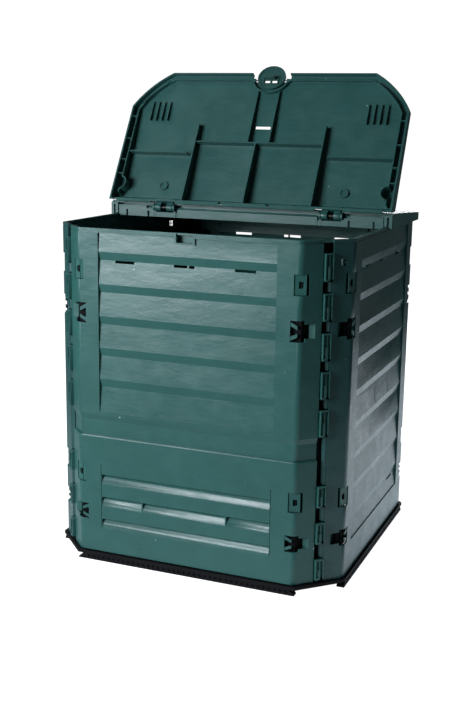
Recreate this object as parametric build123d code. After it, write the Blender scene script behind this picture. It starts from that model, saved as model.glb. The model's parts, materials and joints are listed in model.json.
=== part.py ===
from build123d import *
import math
import os

os.makedirs("parts", exist_ok=True)

# ---------------------------------------------------------------- driving dimensions (mm)
# Origin: centre of the base's underside. +X right, -Y front, +Z up.
HALF = 355.0            # half the width and half the depth of the walls
LEG = 90.0              # leg of the 45 degree corner chamfer, seen from above
BASE_H = 21.0           # height of the base under the walls
DATUM = 24.0            # height from which the panels' features are counted
WALL_TOP = 761.0        # top of the walls above the datum
SKIN = 4.0              # wall thickness of the moulded panels
BEND_R = 16.0           # outer radius where a panel bends into its wing
WING_GAP = 12.0         # distance from a wing's end to the middle of the corner
RIM_Z = DATUM + WALL_TOP
HATCH_H = 282.0         # top of a hatch above the datum
HATCH_LIFT = 2.2        # gap between the base and a hatch's lower edge
LAP = 20.0              # how far the upper panel reaches down behind a hatch

FIELD_HALF = 212.0      # half width of the stepped field of a panel
CHEEK_X = FIELD_HALF + 4.0   # outer side of the cheeks that close the field's ends
BAND_PITCH = 72.7       # pitch of the clapboard steps
BAND_H = 18.5           # height of the sloping band under each course
SIDE_BANDS = 9
UPPER_BANDS = 5
TOP_BAND_Z = DATUM + 690.5   # lower edge of the highest band
FIELD_TOP = RIM_Z - 10.0     # top of the field, under the rim line
FIELD_SHALLOW = 2.0     # depth of a course at its foot
FIELD_DEEP = 6.5        # depth of a course at its head
TOP_DEEP = 4.5          # the same for the top course, which ends under the rim line
FIELD_SKIN = 3.5

SETBACK = 5.0           # depth of the strip above a hatch
SETBACK_TOP = DATUM + 333.0
SETBACK_FOOT = DATUM + 320.0

LOUVRE_HALF = 208.0
LOUVRE_Z = [DATUM + 189.5, DATUM + 135.0, DATUM + 81.0]
LOUVRE_DEPTH = 14.0
LOUVRE_SLOPE_H = 24.0
SCOOP_BULGE = 3.0       # how far a louvre's slope bulges out of the straight
DIVIDER_X = 104.0       # dividers across the middle louvre

LID_HALF = 366.0        # half width of the lid
LID_DEPTH = 366.0       # front to hinge edge of one lid half
LID_CORNER_U = 270.0    # where the lid's rounded corner starts along the front edge
LID_CORNER_V = 268.0    # and along its side
LID_SKIN = 3.5
LID_WALL = 4.0
LID_RIM_Z = DATUM + 758.0    # underside of the closed lid's skirt
LID_EDGE = 6.0          # hinge edge to hinge axis, horizontally
AXIS_H = 23.0           # hinge axis above the skirt's underside
LID_FALL = 0.0623       # fall of the lid's top towards its outer edge
LID_TOP = 36.0          # height of the lid at its ridge above the skirt's underside
LID_OPEN = 120.0        # angle from closed to the stored, open pose

RIB_T = 3.2             # thickness of the ribs under a lid half
RIM_IN = 17.0           # rib that follows the outline, in from the edge
TALL_U = 168.0          # the two ribs that run up from the hinge edge
TALL_V = 222.0
CROSS_V = 174.0         # rib between them
SIDE_RIB_V = 141.0
SCALLOP_R = 18.0        # hollow in the rim rib beside each lower corner
SCALLOP_V = 50.0
BOSS_V = 55.0
BOSS_R = 11.5
FIN_U = 264.0           # four short fins beside each rounded corner
FIN_PITCH = 16.0
FIN_T = 1.4
FIN_V = 234.0
FIN_LONG = 52.0
HAND_V = 217.0          # hand slot through the skin
HAND_HALF = 20.0
HAND_W = 9.0

HINGE_IN = 188.0        # inner ear of each lid hinge
HINGE_OUT = 247.0       # outer ear of each lid hinge
EAR_T = 5.0
PIN_R = 4.0
PIN_FIT = 0.05          # running clearance round a pin, radial
BARREL_R = 9.0
SIDE_GAP = 1.0
STRIP_END = 26.0        # how far the rear half's hinge strip reaches in from the hinge edge
BEAM_HALF = 183.0       # beam between the hinges
BEAM_TOP = 22.0
SECTION_U0 = 246.0      # notched section outside each hinge
SECTION_U1 = 345.0
NOTCH_U = (262.0, 322.0)

TOGGLE_V = 356.0        # middle of the oval wind lock, from the hinge edge
TOGGLE_A = 36.8         # half its width
TOGGLE_B = 32.5         # half its depth
TOGGLE_W0 = 4.3         # its underside above the rim plane, clear of the wall tops
TOGGLE_T = 5.4
TOGGLE_AXIS_V = 348.0   # its pivot axis, from the hinge edge
TOGGLE_AXIS_W = 7.0
TOGGLE_PIN_R = 1.5
WELL_A = 47.0           # half width of the well round the oval
WELL_B = 41.5
WELL_TOP = 10.8
NOTCH_HALF = 50.0       # notch in the lid's front edge for the oval
NOTCH_V = 346.0
TONGUE_HALF = 12.0      # latch tongue under the oval: half width
TONGUE_V = 350.2        # its inner face, outside the wall
TONGUE_T = 3.0
TONGUE_FOOT = -10.0
BARB_H = 4.0
BARB_REACH = 3.0

STRIKE_HALF = 20.0
STRIKE_DEPTH = 16.0
STRIKE_BAR = 4.0        # height of wall left over the strike's hollow
STRIKE_RECESS = 2.5     # how far the bar over the hollow is set back
COMB_PAD = 0.68         # height of a comb's ramp against its window
VENT_S = 36.0           # vent on a side panel's wing, from the middle of the corner
VENT_Z = DATUM + 712.0
UPPER_LOCK_Z = DATUM + 667.5
UPPER_COMB_Z = DATUM + 569.0
HATCH_LOCK_Z = DATUM + 189.5
HATCH_COMB_Z = DATUM + 94.5
UPPER_COMB_H = 46.0
HATCH_COMB_H = 38.0
KNUCKLE_RAMP = [(-13, 1), (-7, 1), (-1.8, 6), (-1.8, 8.4), (-8, 4), (-13, 4)]

PIVOT_DEPTH = 9.0                     # pivot axis behind the outer face
PIVOT_RISE = 22.0                     # pivot axis above the hatch's lower edge
PIVOT_Z = BASE_H + HATCH_LIFT + PIVOT_RISE
PIVOT_Y = -HALF + PIVOT_DEPTH
KNUCKLE_X = [-170.0, 0.0, 170.0]      # middles of the hatch's pivot lugs
LUG_HALF = 20.0
ARM_X = 26.0                          # sill arms, either side of each lug's middle
ARM_HALF = 4.0
ARM_R = 4.5
HATCH_PIN_R = 2.5
SILL_HALF = 206.0
SILL_DEPTH = 36.0                     # front of the sill rail behind the outer face
LIP_H = 2.8                           # slightly slanted lip along a hatch's upper edge
LIP_IN = 0.7

CLIP_TOPS = [DATUM + z for z in (733, 648, 562.5, 478.5, 394, 222, 137, 52)]
CLIP_H = 59.0
CLIP_H_LOW = 48.0
CLIP_HALF_W = 9.8
CLIP_BAR = 1.9          # thickness of the frame round a clip's tongue

CHANNEL_D0 = 12.0
CHANNEL_T = 3.0
LOCK_HALF_H = 21.5
LOCK_DEPTH = 5.6
LOCK_MOUTH_R = 7.5

BASE_HALF = 361.0
PLATE_Z = 13.5          # underside of the base's top plate
STRIP_IN = 18.0         # width of the skirting strip under each straight side
TOOTH_PITCH = 13.0
FOOT_R = 34.0

BIG = 900.0             # larger than the whole bin
UPRIGHT = (Align.CENTER, Align.CENTER, Align.MIN)


# ---------------------------------------------------------------- helpers
def block(x0, x1, y0, y1, z0, z1):
    """Box between two corners."""
    size = (abs(x1 - x0), abs(y1 - y0), abs(z1 - z0))
    return Pos((x0 + x1) / 2, (y0 + y1) / 2, (z0 + z1) / 2) * Box(*size)


def fuse(shapes):
    """One shape out of many."""
    shapes = list(shapes)
    result = shapes[0]
    if len(shapes) > 1:
        result = result + shapes[1:]
    return result


def mirrored(shape):
    return shape + mirror(shape, Plane.YZ)


def prism_x(points, x0, x1):
    """Extrude a (y, z) outline along X from x0 to x1."""
    face = make_face(Polyline(*[(0, y, z) for y, z in points], close=True))
    return Pos(x0, 0, 0) * extrude(face, amount=x1 - x0, dir=(1, 0, 0))


def turn_z(shape, angle):
    return Rot(0, 0, angle) * shape


# ---------------------------------------------------------------- wall plan
ROOT2 = math.sqrt(2.0)


def plan_points(depth, gap):
    """Right half of the wall line at a depth behind the outer face, as (x, y)."""
    flat = HALF - depth
    bend = HALF - LEG - depth * (ROOT2 - 1.0)
    mid = HALF - LEG / 2 - depth / ROOT2
    end = gap / ROOT2
    return [(bend, -flat), (mid - end, -(mid + end))]


def corners_at(face, point):
    """The two corners of a wall band, left and right, that lie at a point of its plan."""
    x, y = point
    return [v for v in face.vertices() if abs(abs(v.X) - x) < 0.01 and abs(v.Y - y) < 0.01]


def plan_band(depth0, depth1, gap=WING_GAP):
    """Flat face of a wall band with its two wings, between two depths."""
    outer = plan_points(depth0, gap)
    inner = plan_points(depth1, gap)
    right = [outer[0], outer[1], inner[1], inner[0]]
    left = [(-x, y) for x, y in right]
    outline = [left[0], right[0], right[1], right[2], right[3], left[3], left[2], left[1]]
    face = make_face(Polyline(*outline, close=True))
    face = fillet(corners_at(face, outer[0]), BEND_R - depth0)
    return fillet(corners_at(face, inner[0]), max(BEND_R - depth1, 2.0))


def band(depth0, depth1, z0, z1, gap=WING_GAP):
    return Pos(0, 0, z0) * extrude(plan_band(depth0, depth1, gap), amount=z1 - z0)


def front_block(x0, x1, d0, d1, z0, z1):
    """Box on the front face, given by its depth behind the outer face."""
    return block(x0, x1, -HALF + d0, -HALF + d1, z0, z1)


def wing_block(s0, s1, d0, d1, z0, z1):
    """Box on the front right chamfer: s runs along it from its middle, towards the side."""
    local = block(s0, s1, d0, d1, z0, z1)
    mid = HALF - LEG / 2
    return Pos(mid, -mid, 0) * Rot(0, 0, 45) * local


def wing_prism(points, z0, z1):
    """Upright prism on the front right chamfer from an (s, d) outline."""
    face = make_face(Polyline(*[(s, d, z0) for s, d in points], close=True))
    mid = HALF - LEG / 2
    return Pos(mid, -mid, 0) * Rot(0, 0, 45) * extrude(face, amount=z1 - z0, dir=(0, 0, 1))


def front_prism(points, d0, d1):
    """Prism into the front face from an (x, z) outline, between two depths."""
    face = make_face(Polyline(*[(x, -HALF + d0, z) for x, z in points], close=True))
    return extrude(face, amount=d1 - d0, dir=(0, 1, 0))


# ---------------------------------------------------------------- panel details
def courses(z_low, z_top, band_count):
    """The stepped field: a skin whose courses lean out going down, with a sloping band under each."""
    outer = [(TOP_DEEP, z_top)]
    for i in range(band_count):
        foot = TOP_BAND_Z - i * BAND_PITCH
        outer.append((FIELD_SHALLOW, foot + BAND_H))
        outer.append((FIELD_DEEP, foot))
    outer.append((FIELD_SHALLOW, z_low))
    inner = [(d + FIELD_SKIN, z) for d, z in reversed(outer)]
    outline = [(-HALF + d, z) for d, z in outer + inner]
    skin = prism_x(outline, -FIELD_HALF - 1, FIELD_HALF + 1)
    cheek = front_block(FIELD_HALF, CHEEK_X, 0, FIELD_DEEP + FIELD_SKIN, z_low, z_top)
    return skin + mirrored(cheek)


def add_field(body, low, band_count):
    """Set the stepped field into a wall band, with ledges that join its head and foot to the band."""
    body -= front_block(-FIELD_HALF, FIELD_HALF, -1, SKIN + 1, low, FIELD_TOP)
    body += courses(low, FIELD_TOP, band_count)
    body += front_block(-CHEEK_X, CHEEK_X, 0, FIELD_SHALLOW + FIELD_SKIN, low - 3, low)
    body += front_block(-CHEEK_X, CHEEK_X, 0, TOP_DEEP + FIELD_SKIN, FIELD_TOP, FIELD_TOP + 3)
    return body


def vent_slots(z):
    """Three air slots under the highest band, the middle one divided."""
    slots = []
    for x0, x1 in [(-171, -124), (-28, 3.5), (8, 20.5), (115, 163)]:
        slots.append(front_block(x0, x1, -1, 20, z - 5.5, z + 0.5))
    return fuse(slots)


def lock_window(z):
    """Opening across the bend for a corner lock."""
    flat = front_block(250, 266, -2, SKIN + 1, z - 22.5, z + 22.5)
    wing = wing_block(-66, -43, -2, SKIN + 1, z - 22.5, z + 22.5)
    return mirrored(flat + wing)


def comb_window(z, height):
    """Opening round the bend for a comb: full height up to the bend, lower beyond it on the wing."""
    half = height / 2
    flat = front_block(244, 266, -2, SKIN + 1, z - half, z + half)
    bend = wing_block(-66, -50, -2, SKIN + 1, z - half, z + half)
    wing = wing_block(-52, -25, -2, SKIN + 1, z - COMB_PAD * half, z + COMB_PAD * half)
    return mirrored(flat + bend + wing)


def comb(z, height):
    """What fills a comb's window: two fingers closing on each other, and a ramp on the wing."""
    half = height / 2
    parts = []
    for up in (-1, 1):
        finger = [(243, 0.92 * half), (243, 0.52 * half), (260, 0.16 * half), (260, 0.52 * half)]
        parts.append(front_prism([(x, z + up * rise) for x, rise in finger], 1, SKIN))
    ramp = [(-24, 0), (-26.5, 0), (-36, 9.2), (-36, 11.4), (-24, 3.4)]
    parts.append(wing_prism(ramp, z - COMB_PAD * half - 1, z + COMB_PAD * half + 1))
    return mirrored(fuse(parts))


def wing_vent():
    """Small four-way vent high on a side panel's wing."""
    frame = wing_block(-VENT_S - 5.5, -VENT_S + 5.5, -2, SKIN + 1, VENT_Z - 7.5, VENT_Z + 7.5)
    upright = wing_block(-VENT_S - 0.8, -VENT_S + 0.8, -3, SKIN + 2, VENT_Z - 9, VENT_Z + 9)
    bar = wing_block(-VENT_S - 7, -VENT_S + 7, -3, SKIN + 2, VENT_Z - 0.8, VENT_Z + 0.8)
    return mirrored(frame - upright - bar)


def rim(z_top):
    """Stiffening flange inside the top edge."""
    return band(SKIN - 0.5, SKIN + 5, z_top - 6, z_top)


def rim_line():
    return band(-0.5, 1.2, RIM_Z - 8.0, RIM_Z - 6.5, WING_GAP - 3)


def strike():
    """Box under the rim for the wind lock's barb: open at the front, with the bar over it set back."""
    box = front_block(-STRIKE_HALF - 4, STRIKE_HALF + 4, 0, STRIKE_DEPTH + 3, RIM_Z - 24, RIM_Z - 1)
    hollow = front_block(-STRIKE_HALF, STRIKE_HALF, -3, STRIKE_DEPTH, RIM_Z - 21, RIM_Z - STRIKE_BAR)
    recess = front_block(-STRIKE_HALF, STRIKE_HALF, -3, STRIKE_RECESS, RIM_Z - STRIKE_BAR - 1, RIM_Z + 1)
    return box, hollow + recess


# ---------------------------------------------------------------- walls
def side_panel():
    """Full height panel, built at the front and turned into place afterwards."""
    low = TOP_BAND_Z - (SIDE_BANDS - 1) * BAND_PITCH - 40
    body = band(0, SKIN, BASE_H, RIM_Z)
    body = add_field(body, low, SIDE_BANDS)
    body += rim(RIM_Z)
    body -= rim_line()
    body -= vent_slots(TOP_BAND_Z)
    for z in (UPPER_LOCK_Z, HATCH_LOCK_Z):
        body -= lock_window(z)
    for z, height in [(UPPER_COMB_Z, UPPER_COMB_H), (HATCH_COMB_Z, HATCH_COMB_H)]:
        body -= comb_window(z, height)
        body += comb(z, height)
    body -= wing_vent()
    for x in (-34, 83):
        body -= front_block(x - 2, x + 2, -1, 20, DATUM + 349, DATUM + 385)
    body -= front_block(132, 178, -1, 20, DATUM + 102, DATUM + 107)
    knuckles = []
    for z0, z1 in clip_gaps():
        knuckles.append(wing_prism(KNUCKLE_RAMP, z0, z1))
    body += mirrored(fuse(knuckles))
    return body


def upper_panel():
    low = SETBACK_TOP + 8
    body = band(0, SKIN, SETBACK_TOP, RIM_Z)
    body = add_field(body, low, UPPER_BANDS)
    body += rim(RIM_Z)
    slope_top = Pos(0, 0, SETBACK_TOP) * plan_band(0, SETBACK + SKIN)
    slope_foot = Pos(0, 0, SETBACK_FOOT) * plan_band(SETBACK, SETBACK + SKIN)
    body += loft([slope_foot, slope_top], ruled=True)
    body += band(SETBACK, SETBACK + SKIN, DATUM + HATCH_H - LAP, SETBACK_FOOT)
    body -= rim_line()
    body -= vent_slots(TOP_BAND_Z)
    body -= lock_window(UPPER_LOCK_Z)
    body -= comb_window(UPPER_COMB_Z, UPPER_COMB_H)
    body += comb(UPPER_COMB_Z, UPPER_COMB_H)
    frame, pocket = strike()
    body += frame
    body -= pocket
    body -= front_block(-0.6, 0.6, 1.2, FIELD_SHALLOW + 0.4, TOP_BAND_Z + BAND_H + 2, RIM_Z - 24)
    return body


def louvre_scoop(z):
    """Convex slope from the back of a hood down to the face below it."""
    foot = z - LOUVRE_SLOPE_H
    back = -HALF + LOUVRE_DEPTH
    mid_y = -HALF + LOUVRE_DEPTH / 2 - SCOOP_BULGE * 0.89
    mid_z = (z + foot) / 2 + SCOOP_BULGE * 0.45
    outer = ThreePointArc((0, back, z), (0, mid_y, mid_z), (0, -HALF, foot))
    inner = ThreePointArc((0, -HALF + SKIN, foot), (0, mid_y + SKIN, mid_z), (0, back + SKIN, z))
    low_end = Line((0, -HALF, foot), (0, -HALF + SKIN, foot))
    high_end = Line((0, back + SKIN, z), (0, back, z))
    face = make_face(Curve() + [outer, low_end, inner, high_end])
    width = 2 * LOUVRE_HALF + 2
    return Pos(-width / 2, 0, 0) * extrude(face, amount=width, dir=(1, 0, 0))


def louvres():
    """Three hooded louvres, open to the air under the second hood at both sides."""
    top = LOUVRE_Z[0] + 24
    low = LOUVRE_Z[2] - LOUVRE_SLOPE_H - 10
    edge = LOUVRE_HALF + 1
    body = front_block(-edge, edge, 0, SKIN, low, top)
    for z in LOUVRE_Z:
        body -= front_block(-edge - 1, edge + 1, -1, SKIN + 1, z - LOUVRE_SLOPE_H, z)
    for z in LOUVRE_Z:
        body += front_block(-edge, edge, 0, LOUVRE_DEPTH + SKIN, z, z + 3)
        body += louvre_scoop(z)
    body += mirrored(front_block(LOUVRE_HALF, LOUVRE_HALF + 4, 0, LOUVRE_DEPTH + SKIN, low, top))
    z = LOUVRE_Z[1]
    wedge = [(-HALF, z + 1), (-HALF + LOUVRE_DEPTH + 1, z + 1), (-HALF, z - LOUVRE_SLOPE_H)]
    rib = prism_x(wedge, -1.5, 1.5)
    for x in (-DIVIDER_X, DIVIDER_X):
        body += Pos(x, 0, 0) * rib
    for x0, x1 in [(-207, -DIVIDER_X - 3), (DIVIDER_X + 3, 207)]:
        body -= front_block(x0, x1, LOUVRE_DEPTH - 4, LOUVRE_DEPTH + SKIN + 2, z - 7, z)
    return body, low, top


def hatch():
    """Drop-down door in the lower half of the front and of the back."""
    foot = BASE_H + HATCH_LIFT
    lip_foot = DATUM + HATCH_H - LIP_H
    body = band(0, SKIN, foot, lip_foot)
    lip_low = Pos(0, 0, lip_foot) * plan_band(0, SKIN)
    lip_high = Pos(0, 0, lip_foot + LIP_H) * plan_band(LIP_IN, SKIN)
    body += loft([lip_low, lip_high], ruled=True)
    grid, low, top = louvres()
    body -= front_block(-LOUVRE_HALF, LOUVRE_HALF, -1, SKIN + 1, low, top)
    body += grid
    body -= lock_window(HATCH_LOCK_Z)
    body -= comb_window(HATCH_COMB_Z, HATCH_COMB_H)
    body += comb(HATCH_COMB_Z, HATCH_COMB_H)
    body -= mirrored(front_block(LOUVRE_HALF + 1, LOUVRE_HALF + 2.4, -1, 1.2, DATUM + 57, DATUM + 213))
    for x in KNUCKLE_X:
        body += front_block(x - LUG_HALF, x + LUG_HALF, 1, PIVOT_DEPTH + 5, PIVOT_Z - 6, PIVOT_Z + 6)
    return body - pivot_bore(HATCH_PIN_R + PIN_FIT)


def pivot_bore(radius):
    return Pos(0, PIVOT_Y, PIVOT_Z) * Rot(0, 90, 0) * Cylinder(radius, 420)


def hatch_pins():
    """Pivot pins of a hatch: each runs through one lug and the two sill arms beside it."""
    pin = Rot(0, 90, 0) * Cylinder(HATCH_PIN_R, 2 * (ARM_X + ARM_HALF))
    return fuse(Pos(x, PIVOT_Y, PIVOT_Z) * pin for x in KNUCKLE_X)


def hatch_sill():
    """Rail inside the base with the arms that carry the pivot pins."""
    rail = front_block(-SILL_HALF, SILL_HALF, SILL_DEPTH, SILL_DEPTH + 4, BASE_H, PIVOT_Z + 8)
    ledge = front_block(-SILL_HALF, SILL_HALF, SILL_DEPTH, SILL_DEPTH + 16, BASE_H, BASE_H + 4)
    parts = [rail, ledge]
    for x in KNUCKLE_X:
        for side in (-1, 1):
            c = x + side * ARM_X
            nose = Pos(c, PIVOT_Y, PIVOT_Z) * Rot(0, 90, 0) * Cylinder(ARM_R, 2 * ARM_HALF)
            bar = (PIVOT_DEPTH, SILL_DEPTH + 1, PIVOT_Z - ARM_R, PIVOT_Z + ARM_R)
            parts += [nose, front_block(c - ARM_HALF, c + ARM_HALF, *bar)]
    return fuse(parts) - pivot_bore(HATCH_PIN_R + PIN_FIT)


# ---------------------------------------------------------------- corners
def clip_height(top):
    return CLIP_H if top > DATUM + 300 else CLIP_H_LOW


def clip_gaps():
    """Heights between neighbouring clips, where the side panel's knuckles fill the joint."""
    gaps = []
    for upper, lower in zip(CLIP_TOPS, CLIP_TOPS[1:]):
        gaps.append((lower + 2.5, upper - clip_height(upper) - 2.5))
    return gaps


def corner_clip(top):
    """Hooked clip: a long frame with a tongue rising to its foot, on a neck into the channel."""
    h = clip_height(top)
    w = CLIP_HALF_W
    frame = wing_block(-w, w, -7, 2, top - h, top)
    frame -= wing_block(-w + CLIP_BAR, w - CLIP_BAR, -8, -0.5, top - h + 5, top - 3)
    mid = HALF - LEG / 2
    corner = Pos(w, 0, top - h - 3) * Rot(0, 32, 0) * Box(26, 22, 10)
    frame -= Pos(mid, -mid, 0) * Rot(0, 0, 45) * corner
    waist = top - 0.48 * h
    wide = [(-7.8, 0.5), (-1.5, -6.4), (2.4, -6.4), (2.4, 0.5)]
    narrow = [(-3.8, 0.5), (-0.8, -5.0), (1.8, -5.0), (1.8, 0.5)]
    tongue = wing_prism(wide, top - h + 1, waist) + wing_prism(narrow, waist - 1, top - 5)
    neck = wing_block(-5, 5, 1.5, CHANNEL_D0, top - h + 12, top - 4)
    return frame + tongue + neck


def lock_backing(z_low, z_high):
    """Strip beside the channel, behind a lock and its comb, which closes them to daylight."""
    flat = front_block(242, 266, 9, 10.5, z_low, z_high)
    wing = wing_block(-60, -46, 9, 10.5, z_low, z_high)
    web = wing_block(-50, -46, 10, CHANNEL_D0 + 1, z_low, z_high)
    return flat + wing + web


def corner_channel():
    """Backing of a corner; its foot is narrow where a hatch's wing swings in."""
    foot_top = PIVOT_Z + 14
    strip = wing_block(-50, 50, CHANNEL_D0, CHANNEL_D0 + CHANNEL_T, foot_top, RIM_Z - 8)
    foot = wing_block(-12, 12, CHANNEL_D0, CHANNEL_D0 + CHANNEL_T, BASE_H, foot_top + 1)
    upper = lock_backing(UPPER_COMB_Z - 27, UPPER_LOCK_Z + 24)
    lower = lock_backing(HATCH_COMB_Z - 22, HATCH_LOCK_Z + 24)
    body = strip + foot + both_ways(upper + lower)
    body -= both_ways(wing_block(VENT_S - 8, VENT_S + 8, 0, 20, VENT_Z - 11, VENT_Z + 11))
    return body - corner_locks()


def both_ways(shape):
    """A shape on the front right corner with its mirror image across the corner's middle."""
    mid = HALF - LEG / 2
    return shape + mirror(shape, Plane(origin=(mid, -mid, 0), z_dir=(1, 1, 0)))


def corner_lock(z):
    """C-shaped lock behind a panel's window, facing half way round the bend, on a stem to the channel."""
    low, high = z - LOCK_HALF_H, z + LOCK_HALF_H
    plate = block(-3, 13, LOCK_DEPTH, LOCK_DEPTH + 2.4, low, high)
    mouth = block(-4, 1.5, LOCK_DEPTH - 1, LOCK_DEPTH + 4, z - LOCK_MOUTH_R, z + LOCK_MOUTH_R)
    mouth += Pos(1.5, LOCK_DEPTH + 1, z) * Rot(90, 0, 0) * Cylinder(LOCK_MOUTH_R, 8)
    step = block(-11.5, 2, LOCK_DEPTH + 1.4, LOCK_DEPTH + 2.8, low, high)
    step -= block(-3, 3, LOCK_DEPTH, LOCK_DEPTH + 4, z - LOCK_MOUTH_R, z + LOCK_MOUTH_R)
    clip = Pos(HALF - LEG, -HALF, 0) * Rot(0, 0, 22.5) * ((plate - mouth) + step)
    stem = wing_block(-54, -50, 2.0, CHANNEL_D0, low, high)
    foot = wing_block(-54, -46, CHANNEL_D0 - 2.5, CHANNEL_D0, low, high)
    return clip + stem + foot


def corner_locks():
    """The four locks of a corner, two for each of the panels that meet there."""
    return both_ways(corner_lock(UPPER_LOCK_Z) + corner_lock(HATCH_LOCK_Z))


# ---------------------------------------------------------------- lid
def lid_outline(inset=0.0):
    """Plan of a lid half in its own frame: u across, v from the hinge edge."""
    half = LID_HALF - inset
    far = LID_DEPTH - inset
    cu = LID_CORNER_U - inset * 0.4
    cv = LID_CORNER_V - inset * 0.4
    bulge = 9.0
    mx = (half + cu) / 2 + bulge / ROOT2
    my = (far + cv) / 2 + bulge / ROOT2
    right = Line((half, inset), (half, cv))
    arc_r = ThreePointArc((half, cv), (mx, my), (cu, far))
    top = Line((cu, far), (-cu, far))
    arc_l = ThreePointArc((-cu, far), (-mx, my), (-half, cv))
    left = Line((-half, cv), (-half, inset))
    hinge = Line((-half, inset), (half, inset))
    return make_face(Curve() + [right, arc_r, top, arc_l, left, hinge])


def lid_top(v):
    """Height of the lid's outer skin above the rim plane."""
    return LID_TOP - LID_FALL * (v + LID_EDGE)


def lid_outer():
    profile = [(0, 0), (LID_DEPTH, 0), (LID_DEPTH, lid_top(LID_DEPTH)), (20, lid_top(20)), (8, 18)]
    return prism_x(profile, -LID_HALF, LID_HALF) & extrude(lid_outline(), amount=60)


def lid_inner():
    far = LID_DEPTH - LID_WALL
    profile = [(LID_WALL, -1), (far, -1), (far, lid_top(far) - LID_SKIN), (22, lid_top(22) - LID_SKIN),
               (11.5, 17), (LID_WALL + 1, 0)]
    hollow = prism_x(profile, -LID_HALF, LID_HALF)
    return hollow & (Pos(0, 0, -5) * extrude(lid_outline(LID_WALL), amount=70))


def lid_ribs():
    """Ribs under the lid, from the rim plane up to the skin."""
    t = RIB_T / 2
    border = lid_outline(RIM_IN)
    rim_rib = extrude(border, amount=60) - extrude(lid_outline(RIM_IN + 2.4), amount=60)
    ribs = [rim_rib & block(-BIG, BIG, RIM_IN + 6, BIG, 1, 60)]
    side_u = LID_HALF - RIM_IN
    scallop = Cylinder(SCALLOP_R, 60, align=UPRIGHT) - Cylinder(SCALLOP_R - 2, 62, align=UPRIGHT)
    scallop = Pos(side_u, SCALLOP_V, 1) * scallop & block(0, side_u, 0, BIG, 1, 60)
    ribs[0] -= mirrored(Pos(side_u, SCALLOP_V, 0) * Cylinder(SCALLOP_R - 2, 60, align=UPRIGHT))
    ribs.append(mirrored(scallop))
    for v in (76, 116, 176, 240):
        ribs.append(mirrored(block(side_u, LID_HALF - 2, v - 1, v + 1, 3, 60)))
    ribs.append(mirrored(block(TALL_U - t, TALL_U + t, 3, TALL_V, 3, 60)))
    ribs.append(mirrored(block(TALL_U - 6, TALL_U + 6, TALL_V - 3, TALL_V, 12, 60)))
    ribs.append(block(-TALL_U, TALL_U, CROSS_V - RIB_T, CROSS_V, 5, 60))
    ribs.append(block(6 - t, 6 + t, 3, CROSS_V, 5, 60))
    ribs.append(mirrored(block(28 - t, 28 + t, CROSS_V, 318, 5, 60)))
    ribs.append(mirrored(block(TALL_U + 16, side_u, SIDE_RIB_V - t, SIDE_RIB_V + t, 6, 60)))
    for k in range(4):
        u = FIN_U + FIN_PITCH * k
        ribs.append(mirrored(block(u - FIN_T / 2, u + FIN_T / 2, FIN_V, FIN_V + FIN_LONG, 9, 60)))
    return fuse(ribs)


def oval(a, b, w0, w1):
    """Upright oval column round the wind lock's middle."""
    return Pos(0, TOGGLE_V, w0) * extrude(Ellipse(a, b), amount=w1 - w0)


def add_toggle_seat(body, shell):
    """Notch, well and ears in the lid's front edge for the wind lock, and the hand slot behind it."""
    notch = block(-NOTCH_HALF, NOTCH_HALF, NOTCH_V, LID_DEPTH + 5, -1, 60)
    body -= oval(WELL_A, WELL_B, -5, WELL_TOP)
    wall = oval(WELL_A + 2.5, WELL_B + 2.5, 2, 60) - oval(WELL_A, WELL_B, 1, 61)
    body += wall & shell
    body -= notch
    body -= block(-18, 18, 338, NOTCH_V + 1, -5, 60)
    ear_foot = TOGGLE_W0 + 0.1
    body += mirrored(block(41, NOTCH_HALF + 1, NOTCH_V - 3, NOTCH_V + 6, ear_foot, WELL_TOP + 1))
    return body - block(-HAND_HALF, HAND_HALF, HAND_V, HAND_V + HAND_W, -5, 60)


def lid_half(shell):
    """A moulded lid half in its own frame, hollowed and ribbed under its outer shell."""
    return shell - lid_inner() + (lid_ribs() & shell)


def toggle_bore(radius):
    """Bores at both sides of the wind lock for its stub pins."""
    return mirrored(Pos(39, TOGGLE_AXIS_V, TOGGLE_AXIS_W) * Rot(0, 90, 0) * Cylinder(radius, 20))


def octagon(half, leg):
    a = half - leg
    quarter = [(half, a), (a, half)]
    right = [(x, y) for x, y in quarter] + [(-y, x) for x, y in quarter]
    points = right + [(-x, -y) for x, y in right]
    return make_face(Polyline(*points, close=True))


def wall_clearance():
    """The ring over the wall tops that both lid halves stay out of, in the lid frame."""
    outer = extrude(octagon(HALF + 1.5, LEG), amount=30)
    inner = extrude(octagon(HALF - 10.5, LEG - 4), amount=30)
    return Pos(0, -LID_EDGE, RIM_Z + 1.2 - 30 - LID_RIM_Z) * (outer - inner)


def lid_bosses():
    """Low cupped bosses on the underside of the skin."""
    foot = lid_top(BOSS_V) - LID_SKIN - 5
    cup = Cylinder(BOSS_R, 7, align=UPRIGHT) - Cylinder(BOSS_R - 4, 2, align=UPRIGHT)
    return mirrored(Pos(237, BOSS_V, foot) * cup)


def hinge_bore(radius):
    return Pos(0, -LID_EDGE, AXIS_H) * Rot(0, 90, 0) * Cylinder(radius, 2 * HINGE_OUT + 40)


def lid_knuckles():
    """Barrels of the front half, between the rear half's ears."""
    x0 = HINGE_IN + EAR_T + SIDE_GAP
    x1 = HINGE_OUT - EAR_T - SIDE_GAP
    parts = []
    for side in (-1, 1):
        c = side * (x0 + x1) / 2
        barrel = Pos(c, -LID_EDGE, AXIS_H) * Rot(0, 90, 0) * Cylinder(BARREL_R, x1 - x0)
        arm = block(c - (x1 - x0) / 2, c + (x1 - x0) / 2, -LID_EDGE, 14, AXIS_H - 7, AXIS_H + 6)
        web = block(c - 8, c + 8, -LID_EDGE - 11, -LID_EDGE + 11, AXIS_H - 15, AXIS_H + 15)
        parts.append((barrel + arm) - web)
    return fuse(parts)


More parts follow.
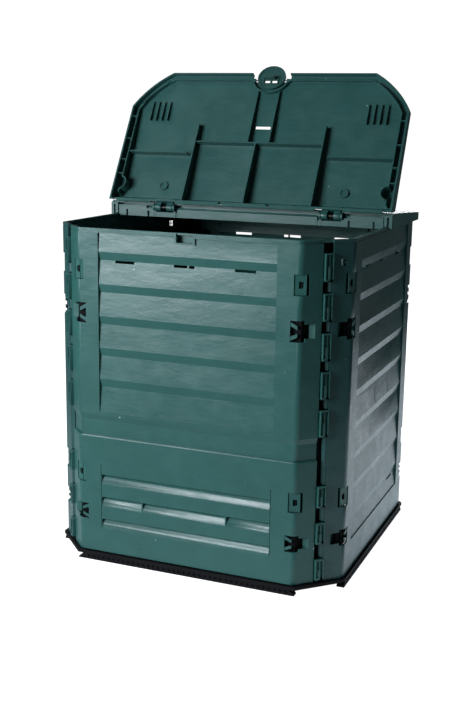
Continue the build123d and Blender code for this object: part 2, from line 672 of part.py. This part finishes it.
def to_closed_rear(shape):
    """Lid frame to the closed rear half."""
    return Pos(0, LID_EDGE, LID_RIM_Z) * shape


def to_open_front(shape):
    """Lid frame to the closed front half, then swung open about the hinge axis."""
    closed = Pos(0, -LID_EDGE, LID_RIM_Z) * Rot(0, 0, 180) * shape
    axis_z = LID_RIM_Z + AXIS_H
    swung = Pos(0, 0, axis_z) * Rot(-LID_OPEN, 0, 0) * Pos(0, 0, -axis_z) * closed
    return swung


def front_lid():
    shell = lid_outer()
    body = add_toggle_seat(lid_half(shell), shell) + lid_bosses() + lid_knuckles()
    body += block(-182, 182, -5, 1, 0, 2.5) + mirrored(block(249, 345, -3, 1, 0, 2.5))
    body -= wall_clearance()
    body -= hinge_bore(PIN_R + PIN_FIT)
    body -= toggle_bore(TOGGLE_PIN_R + PIN_FIT)
    return body - mirrored(block(58, 66, -1, 12, -1, 8))


def hinge_cover():
    """Edge of the rear half's skin over the hinge, with a bead along it."""
    top = lid_top(STRIP_END)
    under = top - LID_SKIN
    wall = [(10, 20), (14, 20), (14, under), (30, under), (30, top)]
    bead = [(2, top), (1, top + 2), (-2, top + 2), (-2, top - 4), (10, top - 4)]
    return prism_x(wall + bead, -LID_HALF, LID_HALF)


def hinge_strip():
    """Stepped strip under that edge: a beam in the middle, a notched section and a corner at each end."""
    face0, face1 = -LID_EDGE, -LID_EDGE + LID_WALL
    strip = block(-BEAM_HALF, BEAM_HALF, face0, face1, -1, BEAM_TOP)
    strip += block(-BEAM_HALF, BEAM_HALF, face0, 14, BEAM_TOP - 4, BEAM_TOP)
    lip = block(BEAM_HALF + 1, SECTION_U0, face0, face1, -1, 11)
    lip += block(BEAM_HALF + 1, SECTION_U0, face0, 30, -1, 2)
    section = block(SECTION_U0, SECTION_U1, face0 - 2, face1, -1, 26)
    section += block(SECTION_U0, SECTION_U1, face0, 14, BEAM_TOP - 4, BEAM_TOP)
    for u in NOTCH_U:
        section -= block(u - 2.5, u + 2.5, -30, 30, -2, 14)
    end = block(LID_HALF - 19, LID_HALF, face0 - 4, face1, -1, 31)
    end += block(LID_HALF - LID_WALL, LID_HALF, face0, 30, -1, lid_top(STRIP_END) - 1)
    end -= block(LID_HALF - 12, LID_HALF - 7, face0 - 6, face0 + 1, 2, 26)
    joint = block(SECTION_U1 - 5, LID_HALF - 16, face0, face1, -1, 26)
    return strip + mirrored(fuse([lip, section, end, joint]))


def hinge_ears():
    """The two ears of one hinge, at +X, with their barrels."""
    ears = []
    for face in (HINGE_IN, HINGE_OUT - EAR_T):
        middle = face + EAR_T / 2
        ears.append(block(face, face + EAR_T, -LID_EDGE - 1, 14, -1, AXIS_H))
        ears.append(Pos(middle, -LID_EDGE, AXIS_H) * Rot(0, 90, 0) * Cylinder(BARREL_R, EAR_T))
        ears.append(block(face, face + EAR_T, -LID_EDGE, STRIP_END, 8, AXIS_H + 9))
    return fuse(ears)


def rear_lid():
    """Rear half: same shell, with a stepped hinge edge and the ears that hold the pins."""
    body = lid_half(lid_outer())
    body -= block(-BIG, BIG, -1, STRIP_END, -1, 60)
    body += hinge_cover()
    body += hinge_strip()
    body -= mirrored(block(HINGE_IN + EAR_T, HINGE_OUT - EAR_T, -LID_EDGE - 30, STRIP_END, 12, 60))
    body += mirrored(hinge_ears())
    body -= wall_clearance()
    return body - hinge_bore(PIN_R + PIN_FIT)


def hinge_pins():
    pin = Rot(0, 90, 0) * Cylinder(PIN_R, HINGE_OUT - HINGE_IN + 1)
    return mirrored(Pos((HINGE_IN + HINGE_OUT) / 2, -LID_EDGE, AXIS_H) * pin)


def wind_toggle():
    """Oval rocker in the lid's front edge, with a barb that rocks under the strike's bar."""
    w0, w1 = TOGGLE_W0, TOGGLE_W0 + TOGGLE_T
    body = oval(TOGGLE_A, TOGGLE_B, w0, w1) - oval(TOGGLE_A - 3, TOGGLE_B - 3, w0 - 1, w0 + 1.8)
    body += mirrored(block(28, 33, TOGGLE_AXIS_V - 4, TOGGLE_AXIS_V + 4, w0, w1))
    body += mirrored(block(18.5, 20, TOGGLE_V - 19, TOGGLE_V + 4, w0, w1))
    body += block(-20, 20, TOGGLE_V + 2.5, TOGGLE_V + 4, w0, w1)
    body -= mirrored(block(2.4, 16.4, 341, 348.6, -5, 30))
    face = TONGUE_V + TONGUE_T
    body += block(-TONGUE_HALF, TONGUE_HALF, TONGUE_V, face, TONGUE_FOOT, w0 + 3)
    body += block(-TONGUE_HALF, TONGUE_HALF, TONGUE_V - BARB_REACH, face, TONGUE_FOOT, TONGUE_FOOT + BARB_H)
    body -= prism_x([(344, w1), (320, w1 - 3.5), (320, w1 + 9), (344, w1 + 9)], -TOGGLE_A, TOGGLE_A)
    return body - toggle_bore(TOGGLE_PIN_R + PIN_FIT)


def toggle_pins():
    """The two stub pins that the wind lock rocks on."""
    pin = Pos(39.5, TOGGLE_AXIS_V, TOGGLE_AXIS_W) * Rot(0, 90, 0) * Cylinder(TOGGLE_PIN_R, 17)
    return mirrored(pin)


# ---------------------------------------------------------------- base
def skirting():
    """Strip under one straight side, toothed above and pointed at both ends."""
    half = BASE_HALF - LEG
    right_end = [(half, 0), (half - 2, 4), (half - 8, 9), (half - 14, PLATE_Z)]
    left_end = [(-x, z) for x, z in reversed(right_end)]
    face = make_face(Polyline(*[(x, -BASE_HALF + 1, z) for x, z in right_end + left_end], close=True))
    strip = extrude(face, amount=STRIP_IN, dir=(0, 1, 0))
    cuts = []
    count = int((half - 24) / TOOTH_PITCH)
    for i in range(-count, count + 1):
        x = (i + 0.5) * TOOTH_PITCH
        cuts.append(block(x - 4, x + 4, -BASE_HALF, -BASE_HALF + 3.5, 5.5, PLATE_Z - 1.5))
    return strip - fuse(cuts)


def grid_slots():
    """Drain slots of the quarter towards +X +Y."""
    slots = []
    for i in range(15):
        for j in range(4):
            cx = 52 + i * 19.0
            cy = 52 + j * 76.0
            if cx + cy > 2 * HALF - LEG - 78 or cx > HALF - 44:
                continue
            slots.append(block(cx - 5, cx + 5, cy - 32, cy + 32, PLATE_Z - 1, BASE_H + 1))
    return fuse(slots)


def base_quarter(sx, sy):
    """A quarter of the base: slotted floor plate with the skirting under its straight sides."""
    body = Pos(0, 0, PLATE_Z) * extrude(octagon(BASE_HALF, LEG), amount=BASE_H - PLATE_Z)
    strip = skirting()
    for angle in (0, 90, 180, 270):
        body += turn_z(strip, angle)
    body -= Pos(0, 0, PLATE_Z - 4) * extrude(Circle(FOOT_R + 0.4), amount=30)
    x0, x1 = sorted((sx * 0.4, sx * BIG))
    y0, y1 = sorted((sy * 0.4, sy * BIG))
    body = body & block(x0, x1, y0, y1, -1, 60)
    cut = grid_slots()
    if sx < 0:
        cut = mirror(cut, Plane.YZ)
    if sy < 0:
        cut = mirror(cut, Plane.XZ)
    return body - cut


def base_centre_foot():
    """Round foot in the middle, with a flange over the inner corners of the four quarters."""
    column = extrude(Circle(FOOT_R), amount=BASE_H)
    flange = Pos(0, 0, BASE_H) * extrude(Circle(FOOT_R + 12), amount=4)
    return column + flange


def base_joiners():
    """Flat keys across the seams of the four quarters."""
    keys = []
    for angle in (0, 90, 180, 270):
        for r in (130, 270):
            keys.append(turn_z(block(r - 12, r + 12, -16, 16, BASE_H, BASE_H + 4), angle))
    return fuse(keys)


# ---------------------------------------------------------------- write the parts
def write(name, shape):
    export_step(shape, "parts/" + name + ".step")
    print(name, len(shape.solids()), round(shape.volume / 1000, 1))


nodes = {}
side = side_panel()
nodes["right_side_panel"] = turn_z(side, 90)
nodes["left_side_panel"] = turn_z(side, -90)
upper = upper_panel()
nodes["front_upper_panel"] = upper
nodes["rear_upper_panel"] = turn_z(upper, 180)
door = hatch()
nodes["front_hatch"] = door
nodes["rear_hatch"] = turn_z(door, 180)
pins = hatch_pins()
nodes["front_hatch_pins"] = pins
nodes["rear_hatch_pins"] = turn_z(pins, 180)
sill = hatch_sill()
nodes["front_hatch_sill"] = sill
nodes["rear_hatch_sill"] = turn_z(sill, 180)

CORNERS = {"front_right": 0, "rear_right": 90, "rear_left": 180, "front_left": 270}
channel = corner_channel()
clips = fuse(corner_clip(top) for top in CLIP_TOPS)
locks = corner_locks()
for corner, angle in CORNERS.items():
    nodes["corner_channel_" + corner] = turn_z(channel, angle)
    nodes["corner_clips_" + corner] = turn_z(clips, angle)
    nodes["corner_locks_" + corner] = turn_z(locks, angle)

nodes["front_lid_half"] = to_open_front(front_lid())
nodes["rear_lid_half"] = to_closed_rear(rear_lid())
nodes["lid_hinge_pins"] = to_closed_rear(hinge_pins())
nodes["wind_lock_toggle"] = to_open_front(wind_toggle())
nodes["wind_lock_pins"] = to_open_front(toggle_pins())

for depth_name, sy in [("front", -1), ("rear", 1)]:
    for side_name, sx in [("left", -1), ("right", 1)]:
        nodes["base_grid_" + depth_name + "_" + side_name] = base_quarter(sx, sy)
nodes["base_joiners"] = base_joiners()
nodes["base_centre_foot"] = base_centre_foot()

for name, shape in nodes.items():
    write(name, shape)
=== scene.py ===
import json
import math

import bmesh
import bpy
from mathutils import Matrix, Vector


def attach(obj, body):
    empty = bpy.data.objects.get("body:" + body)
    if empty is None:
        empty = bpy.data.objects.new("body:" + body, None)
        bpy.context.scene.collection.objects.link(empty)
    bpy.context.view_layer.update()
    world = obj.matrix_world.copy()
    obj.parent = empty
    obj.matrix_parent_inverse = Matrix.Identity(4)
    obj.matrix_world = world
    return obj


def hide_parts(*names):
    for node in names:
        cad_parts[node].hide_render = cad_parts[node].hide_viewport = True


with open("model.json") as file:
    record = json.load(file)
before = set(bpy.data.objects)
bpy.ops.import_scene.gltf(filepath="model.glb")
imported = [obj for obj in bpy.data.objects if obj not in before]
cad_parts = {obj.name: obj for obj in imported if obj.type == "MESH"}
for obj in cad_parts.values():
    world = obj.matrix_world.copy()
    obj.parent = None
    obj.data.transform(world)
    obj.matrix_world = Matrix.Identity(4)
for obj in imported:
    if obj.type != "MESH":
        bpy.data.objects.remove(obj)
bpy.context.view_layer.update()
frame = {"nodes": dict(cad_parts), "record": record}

scene = bpy.context.scene
NODES = frame["nodes"]
BODIES = frame["record"]["behaviour"]["bodies"]
BODY_OF = {node: body for body, members in BODIES.items() for node in members}
SLOT_OF = {part["node"]: part["material_slot"] for part in frame["record"]["subparts"]}


# ---------------------------------------------------------------- camera
CAMERA_AT = (0.9675, -2.4712, 1.0373)
AZIMUTH = math.radians(21.70)
PITCH = math.radians(12.566)
ROLL = math.radians(0.936)
LENS = 54.91
SENSOR = 36.0


def add_camera():
    """Camera looking down at the bin from its front right, with a slight roll."""
    level = math.cos(PITCH)
    back = Vector((math.sin(AZIMUTH) * level, -math.cos(AZIMUTH) * level, math.sin(PITCH)))
    right = Vector((math.cos(AZIMUTH), math.sin(AZIMUTH), 0.0))
    up = back.cross(right)
    rolled_right = math.cos(ROLL) * right + math.sin(ROLL) * up
    rolled_up = math.cos(ROLL) * up - math.sin(ROLL) * right
    data = bpy.data.cameras.new("camera")
    data.lens = LENS
    data.sensor_width = SENSOR
    camera = bpy.data.objects.new("camera", data)
    turn = Matrix((rolled_right, rolled_up, back)).transposed().to_4x4()
    camera.matrix_world = Matrix.Translation(CAMERA_AT) @ turn
    scene.collection.objects.link(camera)
    scene.camera = camera


# ---------------------------------------------------------------- node helpers
def link(tree, source, target):
    tree.links.new(source, target)


def add_node(tree, kind, **values):
    """A shader node with its plain properties and input values set."""
    node = tree.nodes.new(kind)
    for key, value in values.items():
        if hasattr(node, key):
            setattr(node, key, value)
        else:
            node.inputs[key].default_value = value
    return node


def scaled_coords(tree, scale):
    """Object coordinates stretched by scale, so the pattern stays with the piece when it moves."""
    coords = add_node(tree, "ShaderNodeTexCoord")
    mapping = add_node(tree, "ShaderNodeMapping", Scale=scale)
    link(tree, coords.outputs["Object"], mapping.inputs["Vector"])
    return mapping.outputs["Vector"]


def noise(tree, stretch, scale, detail, roughness):
    """Noise on stretched object coordinates, as a factor."""
    texture = add_node(tree, "ShaderNodeTexNoise", Scale=scale, Detail=detail, Roughness=roughness)
    link(tree, scaled_coords(tree, stretch), texture.inputs["Vector"])
    return texture.outputs["Fac"]


def ramp(tree, fac, stops):
    """Colour ramp from two (position, colour) stops."""
    node = add_node(tree, "ShaderNodeValToRGB")
    for element, (position, colour) in zip(node.color_ramp.elements, stops):
        element.position = position
        element.color = (*colour, 1.0)
    link(tree, fac, node.inputs["Fac"])
    return node.outputs["Color"]


def mix_colour(tree, fac, a, b):
    """Mix of a and b by fac; each is a number, a colour or a socket."""
    node = add_node(tree, "ShaderNodeMix", data_type="RGBA")
    for value, name in ((fac, 0), (a, 6), (b, 7)):
        if isinstance(value, (float, int)):
            node.inputs[name].default_value = value
        elif isinstance(value, tuple):
            node.inputs[name].default_value = (*value, 1.0)
        else:
            link(tree, value, node.inputs[name])
    return node.outputs[2]


def map_range(tree, fac, low, high, to_low, to_high):
    node = add_node(tree, "ShaderNodeMapRange")
    limits = (("From Min", low), ("From Max", high), ("To Min", to_low), ("To Max", to_high))
    for name, value in limits:
        node.inputs[name].default_value = value
    link(tree, fac, node.inputs["Value"])
    return node.outputs["Result"]


# ---------------------------------------------------------------- moulded plastic
EVEN = (1.0, 1.0, 1.0)          # stretch of a pattern that is the same every way

CLOUD_SCALE = 6.0               # broad clouds of darker colour
CLOUD_STOPS = (0.30, 0.70)
PATCH_SCALE = 22.0              # lighter patches
PATCH_SHOW = 0.35
STREAK_SCALE = 420.0            # flow streaks, drawn out along the piece
STREAK_STRETCH = 0.06
STREAK_SHOW = 0.38
LIGHTER_RANGE = (0.45, 0.75)    # part of the noise where patches and streaks show
DARKEN, LIGHTEN = 0.84, 1.20

SCUFF_SCALE = 300.0             # sparse pale scuffs
SCUFF_STRETCH = (0.5, 1.0, 1.0)
SCUFF_RANGE = (0.72, 0.80)

CHIP_SCALE = 19.0               # small pale chips, at most one in a cell
CHIP_EDGE = (0.028, 0.042)
CHIP_PICK = (0.40, 0.85)        # a cell's own value: no chip below the first, full at the second
CHIP_SHOW = 0.9
CHIP_COLOUR = (0.55, 0.68, 0.66)

SMEAR_RANGE = (0.35, 0.65)      # part of the noise over which the gloss varies
ROUGH_LESS, ROUGH_MORE = 0.06, 0.08

GRAIN_SCALE = 900.0             # fine grain
GRAIN_DEPTH = 0.0003
WAVE_SCALE = 16.0               # broad unevenness of the moulded faces
WAVE_STRETCH = 0.45
WAVE_DEPTH = 0.004
WAVE = 0.42


def drawn_out(along, stretch):
    """Stretch that draws a pattern out along one axis."""
    return tuple(stretch if axis == along else 1.0 for axis in "xyz")


def chips(tree):
    """Factor that picks out small round chips, scattered and of uneven strength."""
    cells = add_node(tree, "ShaderNodeTexVoronoi", Scale=CHIP_SCALE)
    link(tree, scaled_coords(tree, EVEN), cells.inputs["Vector"])
    speck = map_range(tree, cells.outputs["Distance"], *CHIP_EDGE, 1.0, 0.0)
    split = add_node(tree, "ShaderNodeSeparateColor")
    link(tree, cells.outputs["Color"], split.inputs["Color"])
    strength = map_range(tree, split.outputs["Red"], *CHIP_PICK, 0.0, CHIP_SHOW)
    shown = add_node(tree, "ShaderNodeMath", operation="MULTIPLY")
    link(tree, speck, shown.inputs[0])
    link(tree, strength, shown.inputs[1])
    return shown.outputs["Value"]


def plastic_colour(tree, base, patches, streaks, scuff):
    """Cloudy colour with lighter patches and streaks, pale scuffs and chips."""
    dark = tuple(channel * DARKEN for channel in base)
    light = tuple(channel * LIGHTEN for channel in base)
    pale = tuple(channel * 0.5 + 0.20 for channel in base)
    patch_fac = map_range(tree, patches, *LIGHTER_RANGE, 0.0, PATCH_SHOW)
    streak_fac = map_range(tree, streaks, *LIGHTER_RANGE, 0.0, STREAK_SHOW)
    scuffs = noise(tree, SCUFF_STRETCH, SCUFF_SCALE, 2.0, 0.7)
    scuff_fac = map_range(tree, scuffs, *SCUFF_RANGE, 0.0, scuff)
    clouds = noise(tree, EVEN, CLOUD_SCALE, 5.0, 0.62)
    colour = ramp(tree, clouds, list(zip(CLOUD_STOPS, (dark, base))))
    colour = mix_colour(tree, patch_fac, colour, light)
    colour = mix_colour(tree, streak_fac, colour, light)
    colour = mix_colour(tree, scuff_fac, colour, pale)
    return mix_colour(tree, chips(tree), colour, CHIP_COLOUR)


def plastic_relief(tree, streaks, along, bump):
    """Fine grain and streaks over broad unevenness, as one normal."""
    fine = add_node(tree, "ShaderNodeBump", Strength=bump, Distance=GRAIN_DEPTH)
    grain = mix_colour(tree, 0.6, streaks, noise(tree, EVEN, GRAIN_SCALE, 2.0, 0.5))
    link(tree, grain, fine.inputs["Height"])
    broad = add_node(tree, "ShaderNodeBump", Strength=WAVE, Distance=WAVE_DEPTH)
    waves = noise(tree, drawn_out(along, WAVE_STRETCH), WAVE_SCALE, 4.0, 0.55)
    link(tree, waves, broad.inputs["Height"])
    link(tree, fine.outputs["Normal"], broad.inputs["Normal"])
    return broad.outputs["Normal"]


def moulded_plastic(name, base, rough, along="x", scuff=0.35, bump=0.22, shine=0.5):
    """Recycled moulded plastic, its streaks running along one axis of the piece."""
    material = bpy.data.materials.new(name)
    material.use_nodes = True
    tree = material.node_tree
    shader = tree.nodes["Principled BSDF"]
    patches = noise(tree, EVEN, PATCH_SCALE, 4.0, 0.6)
    streaks = noise(tree, drawn_out(along, STREAK_STRETCH), STREAK_SCALE, 3.0, 0.6)
    smear = mix_colour(tree, 0.5, streaks, patches)
    gloss = map_range(tree, smear, *SMEAR_RANGE, rough - ROUGH_LESS, rough + ROUGH_MORE)
    link(tree, plastic_colour(tree, base, patches, streaks, scuff), shader.inputs["Base Color"])
    link(tree, gloss, shader.inputs["Roughness"])
    shader.inputs["Specular IOR Level"].default_value = shine
    link(tree, plastic_relief(tree, streaks, along, bump), shader.inputs["Normal"])
    return material


def make_materials():
    """One material per slot of the record, and a darker copy of the panel plastic for the side panels,
    whose streaks run along Y; its darker base colour is painted shade on the sides.
    """
    finishes = {
        "panel_green": dict(base=(0.028, 0.117, 0.105), rough=0.33),
        # darker copy of the panel plastic: its lower base colour is painted shade on the side panels
        "panel_green_side": dict(base=(0.022, 0.086, 0.084), rough=0.30, along="y"),
        "lid_green": dict(base=(0.019, 0.092, 0.084), rough=0.42, bump=0.18),
        "clip_green": dict(base=(0.030, 0.125, 0.112), rough=0.36, along="z"),
        "toggle_green": dict(base=(0.017, 0.080, 0.072), rough=0.42),
        # near-black plastic of the channel pieces: partly their own colour, partly painted shade standing
        # in for the dark of the recessed gaps they sit in
        "channel_black": dict(base=(0.003, 0.004, 0.005), rough=0.65, along="z", scuff=0.0, shine=0.1),
        "pin_black": dict(base=(0.008, 0.010, 0.011), rough=0.45),
        "base_black": dict(base=(0.003, 0.003, 0.004), rough=0.70, scuff=0.10, shine=0.2),
    }
    return {name: moulded_plastic(name, **finish) for name, finish in finishes.items()}


# ---------------------------------------------------------------- softened copies of the CAD nodes
WELD = 1e-6
FLAT_ANGLE = math.radians(1.0)
EDGE_ANGLE = math.radians(28.0)
EDGE_ROUND = {"panel_green": 0.0013, "lid_green": 0.0008, "clip_green": 0.0006, "toggle_green": 0.0007,
              "base_black": 0.0007, "channel_black": 0.0005, "pin_black": 0.0004}


def softened(node, material, width):
    """Copy of a CAD node with its moulded edges rounded, riding where the node rides."""
    mesh = NODES[node].data.copy()
    mesh.name = "soft_" + node
    work = bmesh.new()
    work.from_mesh(mesh)
    bmesh.ops.remove_doubles(work, verts=work.verts, dist=WELD)
    bmesh.ops.dissolve_limit(work, angle_limit=FLAT_ANGLE, verts=work.verts, edges=work.edges)
    work.to_mesh(mesh)
    work.free()
    piece = bpy.data.objects.new("soft_" + node, mesh)
    scene.collection.objects.link(piece)
    bevel = piece.modifiers.new("edges", "BEVEL")
    bevel.width = width
    bevel.segments = 2
    bevel.limit_method = "ANGLE"
    bevel.angle_limit = EDGE_ANGLE
    bevel.use_clamp_overlap = True
    bevel.harden_normals = True
    bpy.context.view_layer.update()
    graph = bpy.context.evaluated_depsgraph_get()
    final = bpy.data.meshes.new_from_object(piece.evaluated_get(graph))
    piece.modifiers.clear()
    piece.data = final
    final.materials.clear()
    final.materials.append(material)
    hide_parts(node)
    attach(piece, BODY_OF[node])


def dress_nodes(materials):
    """Every CAD node gets its rounded copy and its own moulded plastic."""
    for node in sorted(NODES):
        slot = SLOT_OF[node]
        # the side panels take the darker copy of the panel plastic, painted shade on the sides
        key = slot + "_side" if node.endswith("side_panel") else slot
        softened(node, materials[key], EDGE_ROUND[slot])


# ---------------------------------------------------------------- studio
WHITE = (1.0, 1.0, 1.0, 1.0)
WORLD_GLOW = 0.05

# place, aim, size, watts and colour of each light
LIGHTS = {
    "key": ((-1.42, -2.45, 1.28), (0.0, -0.3, 0.60), (1.4, 1.0), 84.0, (0.92, 0.98, 1.04)),
    "back": ((-0.75, 3.2, 1.55), (0.1, 0.2, 0.8), (1.6, 0.8), 34.0, (0.96, 0.97, 1.0)),
    "high": ((-1.6, 0.3, 2.2), (0.0, 0.0, 0.8), (1.2, 1.0), 16.0, (1.0, 1.0, 1.0)),
}

FLOOR_REACH, FLOOR_BEND, FLOOR_TOP = 30.0, 8.0, 40.0
FLOOR_STEPS, FLOOR_SIDES = 16, 96
FLOOR_COLOUR = (0.55, 0.55, 0.56, 1.0)
FLOOR_GLOW = 1.05

BOUNCE_HALF, BOUNCE_HEIGHT = 3.0, -0.003
BOUNCE_MIDDLE = (0.5, 0.8, 0.0)
BOUNCE_NEAR, BOUNCE_FAR = 0.5, 2.0
BOUNCE_GLOW = 1.15
BOUNCE_COLOUR = (0.80, 0.91, 1.0, 1.0)


def add_world():
    """Dim white surroundings."""
    world = bpy.data.worlds.new("studio")
    world.use_nodes = True
    back = world.node_tree.nodes["Background"]
    back.inputs["Color"].default_value = WHITE
    back.inputs["Strength"].default_value = WORLD_GLOW
    scene.world = world


def add_lights():
    """Soft key low at the front left, a backlight behind the left, a weak light high behind the lid."""
    for name, (place, aim, size, watts, colour) in LIGHTS.items():
        data = bpy.data.lights.new(name, "AREA")
        data.shape = "RECTANGLE"
        data.size, data.size_y = size
        data.energy = watts
        data.color = colour
        light = bpy.data.objects.new(name, data)
        light.location = place
        light.rotation_euler = (Vector(aim) - Vector(place)).to_track_quat("-Z", "Y").to_euler()
        scene.collection.objects.link(light)


def bowl_profile():
    """Radius and height of each ring of the backdrop: edge of the floor, quarter bend, upright wall."""
    profile = [(FLOOR_REACH, 0.0)]
    for step in range(1, FLOOR_STEPS + 1):
        turn = math.pi / 2 * step / FLOOR_STEPS
        profile.append((FLOOR_REACH + FLOOR_BEND * math.sin(turn), FLOOR_BEND * (1 - math.cos(turn))))
    profile.append((FLOOR_REACH + FLOOR_BEND, FLOOR_TOP))
    return profile


def add_backdrop():
    """Pale round floor that curves up into a wall far from the bin; only the camera sees it."""
    profile = bowl_profile()
    verts = [(0.0, 0.0, 0.0)]
    for radius, height in profile:
        for side in range(FLOOR_SIDES):
            angle = 2 * math.pi * side / FLOOR_SIDES
            verts.append((radius * math.cos(angle), radius * math.sin(angle), height))
    faces = [(0, 1 + side, 1 + (side + 1) % FLOOR_SIDES) for side in range(FLOOR_SIDES)]
    for ring in range(len(profile) - 1):
        low = 1 + ring * FLOOR_SIDES
        high = low + FLOOR_SIDES
        for side in range(FLOOR_SIDES):
            after = (side + 1) % FLOOR_SIDES
            faces.append((low + side, high + side, high + after, low + after))
    mesh = bpy.data.meshes.new("backdrop")
    mesh.from_pydata(verts, [], faces)
    mesh.shade_smooth()
    floor = bpy.data.objects.new("backdrop", mesh)
    scene.collection.objects.link(floor)
    material = bpy.data.materials.new("pale_floor")
    material.use_nodes = True
    shader = material.node_tree.nodes["Principled BSDF"]
    shader.inputs["Base Color"].default_value = FLOOR_COLOUR
    shader.inputs["Roughness"].default_value = 0.9
    shader.inputs["Specular IOR Level"].default_value = 0.0
    shader.inputs["Emission Color"].default_value = WHITE
    shader.inputs["Emission Strength"].default_value = FLOOR_GLOW
    mesh.materials.append(material)
    floor.visible_glossy = False
    floor.visible_diffuse = False
    floor.visible_shadow = False


def add_bounce():
    """Bright patch of floor round the bin, for reflections and bounced light; the camera doesn't see it."""
    around = ((-1, -1), (1, -1), (1, 1), (-1, 1))
    corners = [(x * BOUNCE_HALF, y * BOUNCE_HALF, BOUNCE_HEIGHT) for x, y in around]
    mesh = bpy.data.meshes.new("bounce")
    mesh.from_pydata(corners, [], [(0, 1, 2, 3)])
    patch = bpy.data.objects.new("bounce", mesh)
    scene.collection.objects.link(patch)
    material = bpy.data.materials.new("bounce_floor")
    material.use_nodes = True
    tree = material.node_tree
    shader = tree.nodes["Principled BSDF"]
    shader.inputs["Base Color"].default_value = (0.2, 0.2, 0.2, 1.0)
    shader.inputs["Roughness"].default_value = 1.0
    shader.inputs["Emission Color"].default_value = BOUNCE_COLOUR
    coords = add_node(tree, "ShaderNodeTexCoord")
    reach = add_node(tree, "ShaderNodeVectorMath", operation="DISTANCE")
    link(tree, coords.outputs["Object"], reach.inputs[0])
    reach.inputs[1].default_value = BOUNCE_MIDDLE
    glow = map_range(tree, reach.outputs["Value"], BOUNCE_NEAR, BOUNCE_FAR, BOUNCE_GLOW, 0.0)
    link(tree, glow, shader.inputs["Emission Strength"])
    mesh.materials.append(material)
    patch.visible_camera = False


add_camera()
add_world()
add_backdrop()
add_bounce()
add_lights()
dress_nodes(make_materials())
scene.view_settings.view_transform = "Standard"
